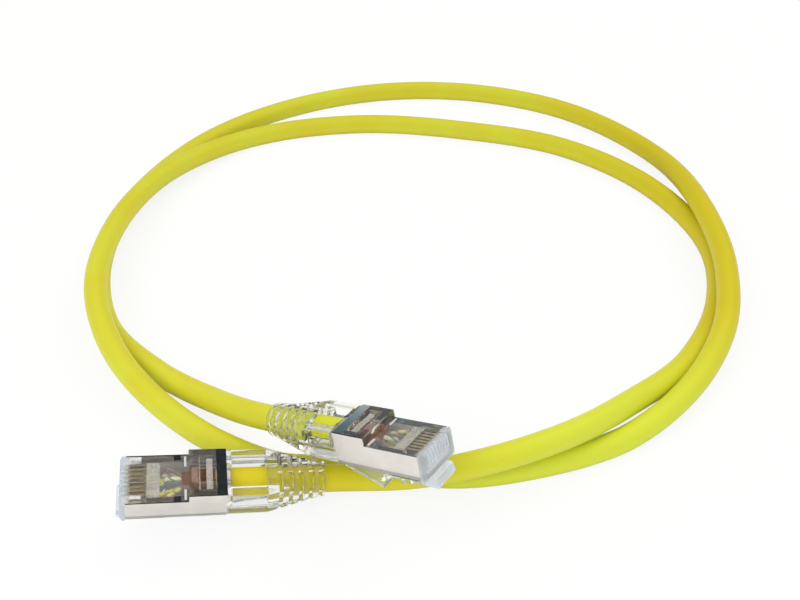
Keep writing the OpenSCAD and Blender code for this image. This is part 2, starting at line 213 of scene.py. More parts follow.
class BootSettings(bpy.types.PropertyGroup):
    """Sizes and finish of the two boots."""

    wall: length("Wall", "Thickness of the walls round the windows", 0.0012)
    corner: length("Corner", "Radius of the boot's long edges", 0.0012)
    grooves: bpy.props.IntProperty(name="Grooves", description="Rings of slots in the tail", default=5, min=1)
    groove_pitch: length("Groove pitch", "Distance between two rings of slots", 0.00215)
    groove_w: length("Groove width", "Width of a slot along the boot", 0.0009)
    rail: length("Rail", "Inset of a slot from the boot's end diameter, on each side", 0.00165)
    edge: length("Edge", "Radius of the boot's edges", 0.00012)
    tint: colour("Tint", "Tint of the clear boot", (0.97, 0.97, 0.95))


class StageSettings(bpy.types.PropertyGroup):
    """Floor and light."""

    floor: length("Floor", "Half the width of the floor", 2.0, high=10)
    sky: share("Sky", "Strength of the light from all round", 0.80, high=3)
    key: share("Key", "Power of the front lamp in watts", 2.0, high=50)
    rim: share("Rim", "Power of the back lamp in watts", 1.6, high=50)


def settings():
    return bpy.context.scene.patch_cable


class CableSettings(bpy.types.PropertyGroup):
    """All the settings of the patch cable."""

    cord: bpy.props.PointerProperty(name="Cord", description="The cable", type=CordSettings)
    plug: bpy.props.PointerProperty(name="Plug", description="The plugs", type=PlugSettings)
    boot: bpy.props.PointerProperty(name="Boot", description="The boots", type=BootSettings)
    stage: bpy.props.PointerProperty(name="Stage", description="Floor and light", type=StageSettings)


# Places

def placed(side):
    """The matrix that takes a point from a plug's own frame to the row frame."""
    turn = Euler([math.radians(a) for a in PLUG_TURN[side]], "XYZ")
    return Matrix.Translation(PLUG_AT[side]) @ turn.to_matrix().to_4x4()


def cable_axis(per_span):
    """Points on the cable's centre line, with so many steps between two points of the route."""
    cord = settings().cord
    lay_z = 0.4 * cord.diameter
    step = cord.diameter + LAYER_GAP
    ends = {s: [placed(s) @ Vector((-x, 0, AXIS_Z)) for x in STRAIGHT] for s in SIDES}
    way = ends["b"] + [Vector((x, y, lay_z + z * step)) for x, y, z in ROUTE] + ends["a"][::-1]
    spans = [(b - a).length for a, b in zip(way, way[1:])]
    straight = len(STRAIGHT) - 1
    last = len(way) - 1

    def heading(i):
        if i <= straight:
            return (way[1] - way[0]).normalized()
        if i >= last - straight:
            return (way[last] - way[last - 1]).normalized()
        before, after = spans[i - 1], spans[i]
        come, go = way[i] - way[i - 1], way[i + 1] - way[i]
        return (come * after / before + go * before / after) / (before + after)

    points = []
    for i in range(last):
        for k in range(per_span):
            t = k / per_span
            p = ((2 * t**3 - 3 * t**2 + 1) * way[i] + (t**3 - 2 * t**2 + t) * spans[i] * heading(i)
                 + (3 * t**2 - 2 * t**3) * way[i + 1] + (t**3 - t**2) * spans[i] * heading(i + 1))
            points.append(Vector((p.x, p.y, max(p.z, lay_z))))
    points.append(way[last])
    return points


# Meshes

def new_piece(name, bm, material, smooth=40):
    """An object of a finished mesh, shaded smooth up to an edge angle in degrees."""
    mesh = bpy.data.meshes.new(name)
    bm.normal_update()
    bm.to_mesh(mesh)
    bm.free()
    piece = bpy.data.objects.new(name, mesh)
    bpy.context.scene.collection.objects.link(piece)
    mesh.shade_smooth()
    mesh.set_sharp_from_angle(angle=math.radians(smooth))
    if material:
        mesh.materials.append(material)
    return piece


def tube(bm, points, radius, sides, offset=None, floor=None, bore=0.0):
    """A round tube along points. offset gives the turn and the distance of its line from points."""
    outer = tube_wall(bm, points, radius, sides, offset, floor)
    if not bore:
        bm.faces.new(outer[0][::-1])
        bm.faces.new(outer[-1])
        return
    inner = tube_wall(bm, points, bore, sides, offset, floor)
    for face in {f for ring in inner for vertex in ring for f in vertex.link_faces}:
        face.normal_flip()
    for k in range(sides):
        after = (k + 1) % sides
        bm.faces.new((inner[0][k], inner[0][after], outer[0][after], outer[0][k]))
        bm.faces.new((outer[-1][k], outer[-1][after], inner[-1][after], inner[-1][k]))


def tube_wall(bm, points, radius, sides, offset, floor):
    """Rings of points round a line, with the faces between them."""
    uv = bm.loops.layers.uv.verify()
    rings, run = [], [0.0]
    for i, p in enumerate(points):
        ahead = (points[min(i + 1, len(points) - 1)] - points[max(i - 1, 0)]).normalized()
        side = Vector((0, 0, 1)).cross(ahead).normalized()
        up = ahead.cross(side)
        centre = p.copy()
        if i:
            run.append(run[-1] + (p - points[i - 1]).length)
        for turn, distance in (offset(run[i]) if offset else ()):
            centre += distance * (side * math.cos(turn) + up * math.sin(turn))
        ring = []
        for k in range(sides):
            angle = math.tau * k / sides
            q = centre + radius * (side * math.cos(angle) + up * math.sin(angle))
            if floor is not None:
                q.z = max(q.z, floor)
            ring.append(bm.verts.new(q))
        rings.append(ring)
    for i, (one, two) in enumerate(zip(rings, rings[1:])):
        for k in range(sides):
            face = bm.faces.new((one[k], one[(k + 1) % sides], two[(k + 1) % sides], two[k]))
            corners = ((k, i), (k + 1, i), (k + 1, i + 1), (k, i + 1))
            for loop, (around, along) in zip(face.loops, corners):
                loop[uv].uv = (around / sides, run[along])
    return rings


def box(low, high):
    """A box from its lowest to its highest corner."""
    bm = bmesh.new()
    bmesh.ops.create_cube(bm, size=1)
    low, high = Vector(low), Vector(high)
    bmesh.ops.transform(bm, matrix=Matrix.LocRotScale((low + high) / 2, None, high - low), verts=bm.verts)
    return bm


def bar(start, end, radius, z=AXIS_Z, sides=64, across=False, x=0.0):
    """A round bar along the plug from start to end, or across it at x."""
    bm = bmesh.new()
    depth = abs(end - start)
    bmesh.ops.create_cone(bm, cap_ends=True, segments=sides, radius1=radius, radius2=radius, depth=depth)
    turn = Matrix.Rotation(math.radians(90), 4, "X" if across else "Y")
    middle = (x, (start + end) / 2, z) if across else ((start + end) / 2, 0, z)
    bmesh.ops.transform(bm, matrix=Matrix.Translation(middle) @ turn, verts=bm.verts)
    return bm


def add_ear(bm, middle):
    """One of the two ears that hold the guard's pin: a plate with a round lower end."""
    turns = [math.tau * k / 24 for k in range(12, 25)]
    outline = [(math.cos(turn) * EAR_R, math.sin(turn) * EAR_R) for turn in turns]
    outline += [(EAR_R, EAR_RISE), (-EAR_R, EAR_RISE)]
    rings = [
        [bm.verts.new((GUARD_HINGE[0] + x, middle + y, GUARD_HINGE[1] + z)) for x, z in outline]
        for y in (-EAR_HALF, EAR_HALF)
    ]
    count = len(outline)
    for k in range(count):
        bm.faces.new((rings[0][k], rings[0][(k + 1) % count], rings[1][(k + 1) % count], rings[1][k]))
    bm.faces.new(rings[0][::-1])
    bm.faces.new(rings[1])
    bmesh.ops.recalc_face_normals(bm, faces=bm.faces)


def carve(piece, cutters):
    """Cuts each cutter's mesh out of a piece."""
    for cutter in cutters:
        tool = new_piece("cutter", cutter, None)
        cut = piece.modifiers.new("cut", "BOOLEAN")
        cut.operation = "DIFFERENCE"
        cut.solver = "EXACT"
        cut.object = tool
        bake(piece)
        bpy.data.objects.remove(tool)


def weld(piece, other):
    """Joins another piece to a piece as one solid."""
    join = piece.modifiers.new("join", "BOOLEAN")
    join.operation = "UNION"
    join.solver = "EXACT"
    join.object = other
    bake(piece)
    bpy.data.objects.remove(other)


def bake(piece):
    """Turns a piece's modifiers into its mesh."""
    graph = bpy.context.evaluated_depsgraph_get()
    mesh = bpy.data.meshes.new_from_object(piece.evaluated_get(graph))
    old = piece.data
    piece.modifiers.clear()
    piece.data = mesh
    bpy.data.meshes.remove(old)


def soften(piece, radius, angle=40, segments=2):
    """Rounds a piece's edges."""
    edges = piece.modifiers.new("edges", "BEVEL")
    edges.width = radius
    edges.segments = segments
    edges.limit_method = "ANGLE"
    edges.angle_limit = math.radians(angle)
    edges.harden_normals = True
    return edges


# Materials

class Finish:
    """A node material round one Principled shader, with short calls that add nodes."""

    def __init__(self, name, **inputs):
        self.material = bpy.data.materials.new(name)
        self.material.use_nodes = True
        self.nodes = self.material.node_tree.nodes
        self.link = self.material.node_tree.links.new
        self.shader = self.nodes["Principled BSDF"]
        self.output = self.nodes["Material Output"]
        for key, value in inputs.items():
            self.shader.inputs[key.replace("_", " ")].default_value = value
        self.place = self.nodes.new("ShaderNodeTexCoord").outputs["Object"]

    def node(self, kind, **values):
        """A node with its input values by name."""
        node = self.nodes.new(kind)
        for key, value in values.items():
            if key in node.inputs:
                node.inputs[key].default_value = value
            else:
                setattr(node, key, value)
        return node

    def noise(self, scale, detail=3.0, place=None, roughness=0.5):
        node = self.node("ShaderNodeTexNoise", Scale=scale, Detail=detail, Roughness=roughness)
        self.link(place or self.place, node.inputs["Vector"])
        return node.outputs["Fac"]

    def along(self, way, start=(0, 0, 0)):
        """How far a point lies from start along a direction, in metres."""
        offset = self.node("ShaderNodeVectorMath", operation="SUBTRACT")
        offset.inputs[1].default_value = start
        self.link(self.place, offset.inputs[0])
        dot = self.node("ShaderNodeVectorMath", operation="DOT_PRODUCT")
        dot.inputs[1].default_value = way
        self.link(offset.outputs[0], dot.inputs[0])
        return dot.outputs["Value"]

    def fade(self, value, near, far):
        """1 up to near, and 0 from far on."""
        node = self.node("ShaderNodeMapRange")
        for key, number in (("From Min", near), ("From Max", far), ("To Min", 1.0), ("To Max", 0.0)):
            node.inputs[key].default_value = number
        self.link(value, node.inputs["Value"])
        return node.outputs["Result"]

    def stretched(self, source, scale):
        """Coordinates scaled along each axis."""
        node = self.node("ShaderNodeMapping", Scale=scale)
        self.link(source, node.inputs["Vector"])
        return node.outputs["Vector"]

    def ramp(self, factor, *stops):
        """Colours or levels at places between 0 and 1."""
        node = self.nodes.new("ShaderNodeValToRGB")
        elements = node.color_ramp.elements
        while len(elements) < len(stops):
            elements.new(0.5)
        for element, (place, value) in zip(elements, stops):
            element.position = place
            element.color = (*value, 1) if hasattr(value, "__len__") else (value, value, value, 1)
        self.link(factor, node.inputs["Fac"])
        return node.outputs["Color"]

    def mix(self, factor, one, two, blend="MIX"):
        """A colour mix of two sockets or colours."""
        node = self.nodes.new("ShaderNodeMix")
        node.data_type = "RGBA"
        node.blend_type = blend
        for socket, value in zip((node.inputs[0], node.inputs[6], node.inputs[7]), (factor, one, two)):
            if isinstance(value, bpy.types.NodeSocket):
                self.link(value, socket)
            elif hasattr(value, "__len__"):
                socket.default_value = (*value, 1) if len(value) == 3 else value
            else:
                socket.default_value = value
        return node.outputs[2]

    def bump(self, height, depth, strength=1.0, over=None):
        """Raises the surface by depth metres where height is 1, over another bump's normal."""
        node = self.node("ShaderNodeBump", Strength=strength, Distance=depth)
        self.link(height, node.inputs["Height"])
        if over:
            self.link(over, node.inputs["Normal"])
        self.link(node.outputs["Normal"], self.shader.inputs["Normal"])
        return self

    def feed(self, name, socket):
        self.link(socket, self.shader.inputs[name])
        return self

    def lets_lamps_through(self, amount):
        """Lamps shine through the piece by this share."""
        path = self.nodes.new("ShaderNodeLightPath")
        part = self.node("ShaderNodeMath", operation="MULTIPLY")
        part.inputs[1].default_value = amount
        self.link(path.outputs["Is Shadow Ray"], part.inputs[0])
        clear = self.nodes.new("ShaderNodeBsdfTransparent")
        both = self.nodes.new("ShaderNodeMixShader")
        self.link(part.outputs[0], both.inputs[0])
        self.link(self.shader.outputs[0], both.inputs[1])
        self.link(clear.outputs[0], both.inputs[2])
        self.link(both.outputs[0], self.output.inputs["Surface"])
        return self


def jacket_vinyl(run):
    """Soft yellow vinyl with faint draw lines along it. Painted light and shade: it is painted greener along
    the front, where light falls, warmer and darker as shade along the right and near the end of its length,
    run, and darker as shade at the back."""
    cord = settings().cord
    f = Finish("jacket_vinyl", Roughness=0.42, IOR=1.45)
    uv = f.nodes.new("ShaderNodeUVMap").outputs["UV"]
    warm = [min(1, c * k) for c, k in zip(cord.jacket, (1.0, 0.95, 0.8))]
    fresh = [min(1, c * k) for c, k in zip(cord.jacket, (0.98, 1.04, 1.2))]
    base = f.ramp(f.noise(60, 2), (0.35, warm), (0.65, fresh))
    # Painted shade: a warmer, darker colour along the right.
    right = f.fade(f.along((-1, 0, 0)), -0.10, -0.06)
    base = f.mix(right, base, cord.painted_shade_tint)
    # Painted light: a greener colour along the front, where light falls.
    near = f.fade(f.along((0, 1, 0)), 0.015, 0.05)
    front = f.mix(1.0, near, f.fade(f.along((-1, 0, 0)), -0.035, 0.01), "MULTIPLY")
    base = f.mix(front, base, cord.painted_light_tint)
    split = f.nodes.new("ShaderNodeSeparateXYZ")
    f.link(uv, split.inputs[0])
    # Painted shade: a warmer, darker colour near the end of the length, run.
    end = f.fade(split.outputs["Y"], run - 0.028, run - 0.08)
    base = f.mix(end, base, [c * 1.06 for c in cord.painted_shade_tint])
    # Painted shade: darker towards the back.
    back = f.fade(f.along((0, -1, 0)), -0.13, -0.06)
    back_shade = f.mix(back, (1.0, 1.0, 1.0), (0.93, 0.93, 0.84))
    base = f.mix(1.0, base, back_shade, "MULTIPLY")
    speck = f.ramp(f.noise(2500, 2), (0.25, 0.975), (0.5, 1.0))
    f.feed("Base Color", f.mix(1.0, base, speck, "MULTIPLY"))
    lines = f.noise(1.0, 4, f.stretched(uv, (90, 12, 1)))
    grain = f.noise(5000, 2)
    f.feed("Roughness", f.ramp(f.noise(900, 3), (0.3, 0.36), (0.7, 0.50)))
    f.bump(f.mix(0.35, lines, grain), 0.00006, 0.55)
    return f.material


def wire_skin(name, tint, stripe=None):
    """Smooth insulation, with a spiral stripe where the wire has one."""
    f = Finish(name, Roughness=0.35)
    base = f.ramp(f.noise(1200, 2), (0.3, [c * 0.85 for c in tint]), (0.7, tint))
    if stripe:
        wave = f.node("ShaderNodeTexWave", Scale=260.0, Distortion=0.4, bands_direction="DIAGONAL")
        f.link(f.place, wave.inputs["Vector"])
        base = f.mix(f.ramp(wave.outputs["Fac"], (0.78, 0.0), (0.84, 1.0)), base, stripe)
    f.feed("Base Color", base)
    f.bump(f.noise(4000, 2), 0.00002, 0.4)
    return f.material


def clear_moulding(name, tint, roughness, cloud, clear, lamps=1.0, frost_on=None, frost_to=0.0):
    """Clear moulded plastic with flow marks, a light haze and fine scratches. What isn't clear of it is milky.
    frost_on names a plug whose nose has a frosted mould surface, up to frost_to metres behind the nose."""
    f = Finish(name, Transmission_Weight=clear, IOR=1.46, Roughness=roughness)
    haze = f.noise(450, 4)
    base = f.ramp(haze, (0.3, [c * cloud for c in tint]), (0.7, tint))
    dull = f.ramp(f.noise(1500, 3), (0.35, roughness), (0.75, roughness + 0.12))
    if frost_on:
        nose = placed(frost_on)
        behind = f.along(-nose.col[0].xyz, nose.translation)
        frost = f.fade(behind, frost_to / 2, frost_to)
        base = f.mix(frost, base, settings().plug.frost)
        dull = f.mix(frost, dull, (0.45, 0.45, 0.45))
        f.feed("Transmission Weight", f.mix(frost, (clear,) * 3, (0.62, 0.62, 0.62)))
    f.feed("Base Color", base)
    f.feed("Roughness", dull)
    flow = f.noise(1.0, 3, f.stretched(f.place, (300, 300, 900)))
    f.bump(flow, 0.00007, 0.3)
    f.lets_lamps_through(lamps)
    return f.material


def plated_sheet(side, tint, roughness):
    """Bright nickel plating on pressed sheet, with rolling marks and dull patches. The lower edge turns in by a
    bump, and is painted darker and bluer there as a painted reflection of the shadow under the plug.
    """
    f = Finish("nickel_plating_" + side, Metallic=1.0, Roughness=roughness)
    patches = f.noise(350, 4)
    plug = placed(side)
    curl_and_shade = f.fade(f.along(plug.col[2].xyz, plug.translation), 0.0, 0.0018)
    base = f.ramp(patches, (0.3, [c * 0.90 for c in tint]), (0.7, tint))
    # Painted reflection: darker and bluer towards the lower edge, as the shadow under the plug mirrored in the
    # plating.
    f.feed("Base Color", f.mix(curl_and_shade, base, (0.66, 0.68, 0.70)))
    f.feed("Roughness", f.ramp(f.noise(800, 4), (0.3, roughness * 0.8), (0.7, roughness * 1.3)))
    steeper = f.node("ShaderNodeMath", operation="POWER")
    steeper.inputs[1].default_value = 2.0
    f.link(curl_and_shade, steeper.inputs[0])
    fold = f.node("ShaderNodeBump", Strength=1.0, Distance=0.0010, invert=True)
    f.link(steeper.outputs[0], fold.inputs["Height"])
    f.bump(f.noise(1.0, 3, f.stretched(f.place, (2600, 500, 500))), 0.00002, 0.35, fold.outputs["Normal"])
    return f.material


def shaded_inside_sheet(tint):
    """The inside faces of the shield's sheet, dull and a little brown: a darker copy of the plating that is
    painted shade inside the shield.
    """
    f = Finish("shaded_inside_sheet", Metallic=0.3, Roughness=0.4)
    dark, light = ([c * k for c in tint] for k in (0.75, 1.2))
    f.feed("Base Color", f.ramp(f.noise(600, 4), (0.3, dark), (0.7, light)))
    f.bump(f.noise(1800, 3), 0.00002, 0.4)
    return f.material


def gold_blade():
    """Gold plating that is rubbed paler along the blade."""
    gold = settings().plug.gold
    f = Finish("gold_blade", Metallic=0.6, Roughness=0.35)
    worn = [min(1, c * k) for c, k in zip(gold, (0.95, 1.05, 1.5))]
    f.feed("Base Color", f.ramp(f.noise(1600, 3), (0.35, gold), (0.7, worn)))
    f.feed("Roughness", f.ramp(f.noise(2200, 2), (0.3, 0.18), (0.7, 0.34)))
    f.bump(f.noise(1.0, 2, f.stretched(f.place, (4000, 4000, 800))), 0.00001, 0.3)
    return f.material


def woven_braid(name, tint, metal):
    """Crossed fine strands."""
    f = Finish(name, Metallic=metal, Roughness=0.42)
    strands = []
    for direction, scale in (("DIAGONAL", 2600.0), ("X", 3100.0)):
        wave = f.node("ShaderNodeTexWave", Scale=scale, Distortion=1.5, bands_direction=direction)
        wave.inputs["Detail Scale"].default_value = 4
        f.link(f.place, wave.inputs["Vector"])
        strands.append(wave.outputs["Fac"])
    weave = f.mix(0.5, strands[0], strands[1])
    dark = [c * 0.25 for c in tint]
    light = [min(1, c * 2.2) for c in tint]
    base = f.ramp(weave, (0.25, dark), (0.55, tint), (0.9, light))
    patches = f.ramp(f.noise(900, 4), (0.35, dark), (0.6, [min(1, c * 1.4) for c in tint]))
    f.feed("Base Color", f.mix(0.55, base, patches))
    f.bump(weave, 0.00004, 0.7)
    return f.material


def nylon():
    """Milky moulded nylon."""
    f = Finish("milky_nylon", Roughness=0.4, Transmission_Weight=0.2)
    f.feed("Base Color", f.ramp(f.noise(1800, 4), (0.3, (0.80, 0.79, 0.77)), (0.72, (0.93, 0.93, 0.92))))
    f.bump(f.noise(2500, 3), 0.00006, 0.5)
    return f.material


def drawn_wire():
    """Bright drawn wire."""
    f = Finish("drawn_wire", Metallic=1.0, Roughness=0.3)
    f.feed("Base Color", f.ramp(f.noise(1500, 3), (0.3, (0.55, 0.55, 0.56)), (0.7, (0.78, 0.78, 0.80))))
    f.bump(f.noise(5000, 2), 0.00001, 0.3)
    return f.material


def white_floor():
    """A white floor that looks white to the camera and in reflections, and keeps half its shadow."""
    f = Finish("white_floor", Roughness=0.9)
    f.feed("Base Color", f.ramp(f.noise(3, 2), (0.3, (0.93, 0.93, 0.93)), (0.7, (0.95, 0.95, 0.95))))
    path = f.nodes.new("ShaderNodeLightPath")
    seen = f.node("ShaderNodeMath", operation="MAXIMUM")
    f.link(path.outputs["Is Camera Ray"], seen.inputs[0])
    f.link(path.outputs["Is Transmission Ray"], seen.inputs[1])
    mirrored = f.node("ShaderNodeMath", operation="MULTIPLY")
    mirrored.inputs[1].default_value = 0.15
    f.link(path.outputs["Is Glossy Ray"], mirrored.inputs[0])
    straight = f.node("ShaderNodeMath", operation="MULTIPLY")
    straight.inputs[1].default_value = 0.85
    f.link(seen.outputs[0], straight.inputs[0])
    half = f.node("ShaderNodeMath", operation="MAXIMUM")
    f.link(straight.outputs[0], half.inputs[0])
    f.link(mirrored.outputs[0], half.inputs[1])
    glow = f.nodes.new("ShaderNodeEmission")
    glow.inputs["Strength"].default_value = 1.0
    both = f.nodes.new("ShaderNodeMixShader")
    f.link(half.outputs[0], both.inputs[0])
    f.link(f.shader.outputs[0], both.inputs[1])
    f.link(glow.outputs[0], both.inputs[2])
    f.link(both.outputs[0], f.output.inputs["Surface"])
    return f.material


# Colours of the wires, by pin: insulation and stripe
WIRES = {
    1: ("white_orange_wire", (0.68, 0.64, 0.22), (0.36, 0.17, 0.05)),
    2: ("orange_wire", (0.30, 0.15, 0.05), None),
    3: ("white_green_wire", (0.86, 0.88, 0.12), (0.58, 0.60, 0.02)),
    4: ("blue_wire", (0.075, 0.085, 0.11), None),
    5: ("white_blue_wire", (0.78, 0.77, 0.48), (0.16, 0.17, 0.17)),
    6: ("green_wire", (0.72, 0.74, 0.03), None),
    7: ("white_brown_wire", (0.58, 0.52, 0.36), (0.16, 0.09, 0.04)),
    8: ("brown_wire", (0.16, 0.085, 0.045), None),
}

# The two pins of each pair, and where it starts round the cable's axis, in degrees
PAIRS = {
    "pair_blue": (4, 5, 0),
    "pair_orange": (2, 1, 90),
    "pair_green": (6, 3, 180),
    "pair_brown": (8, 7, 270),
}


# Operators

class PATCHCABLE_OT_camera(bpy.types.Operator):
    """Place the camera in front of the cable and above it."""

    bl_idname = "patchcable.camera"
    bl_label = "Camera"

    def execute(self, context):
        lens = bpy.data.cameras.new("camera")
        lens.lens = 45
        lens.sensor_width = 36
        lens.clip_start = 0.01
        camera = bpy.data.objects.new("camera", lens)
        camera.location = (0.024, -0.137, 0.17603)
        camera.rotation_euler = (math.radians(48.6), 0, 0)
        context.scene.collection.objects.link(camera)
        context.scene.camera = camera
        context.scene.view_settings.view_transform = "Standard"
        return {"FINISHED"}


class PATCHCABLE_OT_jacket(bpy.types.Operator):
    """Sweep the jacket along the cable's route."""

    bl_idname = "patchcable.jacket"
    bl_label = "Jacket"

    def execute(self, context):
        cord = settings().cord
        line = cable_axis(8)
        bm = bmesh.new()
        tube(bm, line, cord.diameter / 2, 40, floor=0.0, bore=cord.diameter / 2 - cord.wall)
        run = sum((b - a).length for a, b in zip(line, line[1:]))
        jacket = new_piece("jacket", bm, jacket_vinyl(run))
        pressed(jacket, PRESSED_JACKET, cord.diameter / 2)
        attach(jacket, ROOT)
        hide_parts("cable_jacket")
        return {"FINISHED"}


class PATCHCABLE_OT_core(bpy.types.Operator):
    """Lay the drain wire, the braid and the four twisted pairs inside the jacket."""

    bl_idname = "patchcable.core"
    bl_label = "Core"

    def execute(self, context):
        cord = settings().cord
        bm = bmesh.new()
        tube(bm, cable_axis(6), cord.screen, 20, bore=cord.screen - 0.00015)
        screen = new_piece("braided_screen", bm, woven_braid("tinned_braid_weave", (0.55, 0.55, 0.53), 1.0))
        pressed(screen, PRESSED_SCREEN, cord.screen)
        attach(screen, ROOT)
        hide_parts("cable_braid")
        bm = bmesh.new()
        tube(bm, cable_axis(6), cord.drain, 8)
        drain = new_piece("bare_drain_wire", bm, drawn_wire())
        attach(drain, ROOT)
        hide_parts("drain_wire")
        line = cable_axis(14)
        for name, (one, two, start) in PAIRS.items():
            bm = bmesh.new()
            for half, pin in ((0, one), (math.pi, two)):
                def offset(run, start=start, half=half):
                    return ((math.radians(start) + math.tau * run / cord.pair_lay, cord.pair_offset),
                            (half + math.tau * run / cord.pair_twist, cord.pair_d / 4))
                before = len(bm.faces)
                tube(bm, line, cord.pair_d / 4, 6, offset)
                bm.faces.ensure_lookup_table()
                for face in bm.faces[before:]:
                    face.material_index = 0 if pin == one else 1
            piece = new_piece("twisted_" + name, bm, None)
            for pin in (one, two):
                piece.data.materials.append(skin(pin))
            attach(piece, ROOT)
            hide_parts(name)
        return {"FINISHED"}


def skin(pin):
    """The material of a wire, made once."""
    name, tint, stripe = WIRES[pin]
    return bpy.data.materials.get("skin_" + name) or wire_skin("skin_" + name, tint, stripe)


def rounded_box_reach(angle, width, height, corner):
    """How far a ray from the middle of a box with round corners goes, at an angle."""
    way = Vector((math.cos(angle), math.sin(angle)))
    low, high = 0.0, width + height
    for _ in range(30):
        middle = (low + high) / 2
        over_x = abs(way.x) * middle - width / 2 + corner
        over_y = abs(way.y) * middle - height / 2 + corner
        over = Vector((max(over_x, 0), max(over_y, 0)))
        if over.length > corner:
            high = middle
        else:
            low = middle
    return low


def pressed(piece, height, core):
    """Presses a piece of radius core round the cable's end flat to a height over each plug's floor."""
    for side in SIDES:
        there = placed(side)
        back = there.inverted()
        for vertex in piece.data.vertices:
            spot = back @ vertex.co
            if not PRESS_REAR - PRESS_BLEND < spot.x < PRESS_FRONT:
                continue
            if max(abs(spot.y), abs(spot.z - AXIS_Z)) >= PRESS_ROOM:
                continue
            part = min(1.0, (spot.x - PRESS_REAR) / PRESS_BLEND + 1.0)
            limit = AXIS_Z + core * (1 - part) + (height - AXIS_Z) * part
            if spot.z > limit:
                spot.z = limit
                vertex.co = there @ spot


def boot_body(sides=72):
    """The boot's outer form: a box with round corners that tapers to a ring."""
    boot = settings().boot
    bm = bmesh.new()
    front, neck, tip = -PLUG_LEN, -PLUG_LEN - BOOT_FRONT, -BOOT_REAR
    ring_x = tip + 0.0011
    stations = [(front, 0.0), (neck, 0.0)]
    stations += [(neck + (ring_x - neck) * k / 6, k / 6) for k in range(1, 7)]
    stations.append((tip, 1.0))
    rings = []
    for x, taper in stations:
        ring = []
        for k in range(sides):
            angle = math.tau * k / sides
            reach = rounded_box_reach(angle, PLUG_W, BACK_H, boot.corner)
            radius = reach * (1 - taper) + BOOT_END_D / 2 * taper
            middle = BACK_H / 2 * (1 - taper) + AXIS_Z * taper
            ring.append(bm.verts.new((x, radius * math.cos(angle), middle + radius * math.sin(angle))))
        rings.append(ring)
    for one, two in zip(rings, rings[1:]):
        for k in range(sides):
            bm.faces.new((one[k], two[k], two[(k + 1) % sides], one[(k + 1) % sides]))
    bm.faces.new(rings[0])
    bm.faces.new(rings[-1][::-1])
    bmesh.ops.recalc_face_normals(bm, faces=bm.faces)
    return bm


class PATCHCABLE_OT_boots(bpy.types.Operator):
    """Model the two clear boots with their windows and slotted tails."""

    bl_idname = "patchcable.boots"
    bl_label = "Boots"

    def execute(self, context):
        boot = settings().boot
        cord = settings().cord
        material = clear_moulding("clear_boot", boot.tint, 0.02, 0.98, 0.985, 0.5)
        bore = cord.diameter / 2 + 0.00012
        back, front = -PLUG_LEN - BOOT_FRONT + WINDOW_LIP, -PLUG_LEN - WINDOW_FRAME
        rail = PLUG_W / 2 - RAIL_W
        first = -PLUG_LEN - BOOT_FRONT - 0.0025
        slot = BOOT_END_D - 2 * boot.rail
        half = boot.groove_w / 2
        for side in SIDES:
            piece = new_piece("boot_shell_" + side, boot_body(), material)
            cutters = [
                bar(-BOOT_REAR - 0.001, 0.0, bore),
                bar(-PLUG_LEN - CLAMP_LEN - GAP, 0.0, bore + 0.00035),
                box((back, -rail, AXIS_Z + boot.wall), (front, rail, BACK_H + 0.001)),
            ]
            for sign in (-1, 1):
                inner, outer = sorted((sign * (bore - boot.wall), sign * PLUG_W))
                cutters.append(box((back, inner, AXIS_Z), (front, outer, BACK_H - RAIL_T)))
            for i in range(boot.grooves):
                x = first - i * boot.groove_pitch
                for quarter in range(4):
                    cutter = box((-half, SLOT_FLOOR, -slot / 2), (half, PLUG_W, slot / 2))
                    turn = Matrix.Rotation(math.radians(45 + 90 * quarter), 4, "X")
                    matrix = Matrix.Translation((x, 0, AXIS_Z)) @ turn
                    bmesh.ops.transform(cutter, matrix=matrix, verts=cutter.verts)
                    cutters.append(cutter)
            carve(piece, cutters)
            ears = bmesh.new()
            for sign in (-1, 1):
                add_ear(ears, sign * (GUARD_W / 2 + EAR_HALF + GAP))
            weld(piece, new_piece("ears", ears, None))
            carve(piece, [
                bar(-CLEAR, CLEAR, PIN_R, GUARD_HINGE[1], 32, True, GUARD_HINGE[0]),
                bar(-BOOT_REAR - 0.001, 0.0, bore),
            ])
            piece.data.materials.clear()
            piece.data.materials.append(material)
            soften(piece, boot.edge, 35)
            close_up = piece.modifiers.new("close_up", "WELD")
            close_up.merge_threshold = 0.000004
            piece.data.transform(placed(side))
            bake(piece)
            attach(piece, ROOT)
            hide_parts("boot_" + side)
        return {"FINISHED"}


def rounded_section(bm, x, width, low, high, radii, steps=6):
    """A ring of a box section with round corners. radii gives the lower and the upper corners."""
    ring = []
    for across_sign, up_sign, start in ((1, -1, -90), (1, 1, 0), (-1, 1, 90), (-1, -1, 180)):
        radius = radii[0] if up_sign < 0 else radii[1]
        y = across_sign * (width / 2 - radius)
        z = low + radius if up_sign < 0 else high - radius
        for k in range(steps + 1):
            angle = math.radians(start + 90 * k / steps)
            ring.append(bm.verts.new((x, y + radius * math.cos(angle), z + radius * math.sin(angle))))
    return ring


def rounded_block(x0, x1, width, low, high, radii):
    """A block along the plug with round long edges."""
    bm = bmesh.new()
    one, two = (rounded_section(bm, x, width, low, high, radii) for x in (x0, x1))
    for k in range(len(one)):
        bm.faces.new((one[k], one[(k + 1) % len(one)], two[(k + 1) % len(one)], two[k]))
    bm.faces.new(one[::-1])
    bm.faces.new(two)
    bmesh.ops.recalc_face_normals(bm, faces=bm.faces)
    return bm


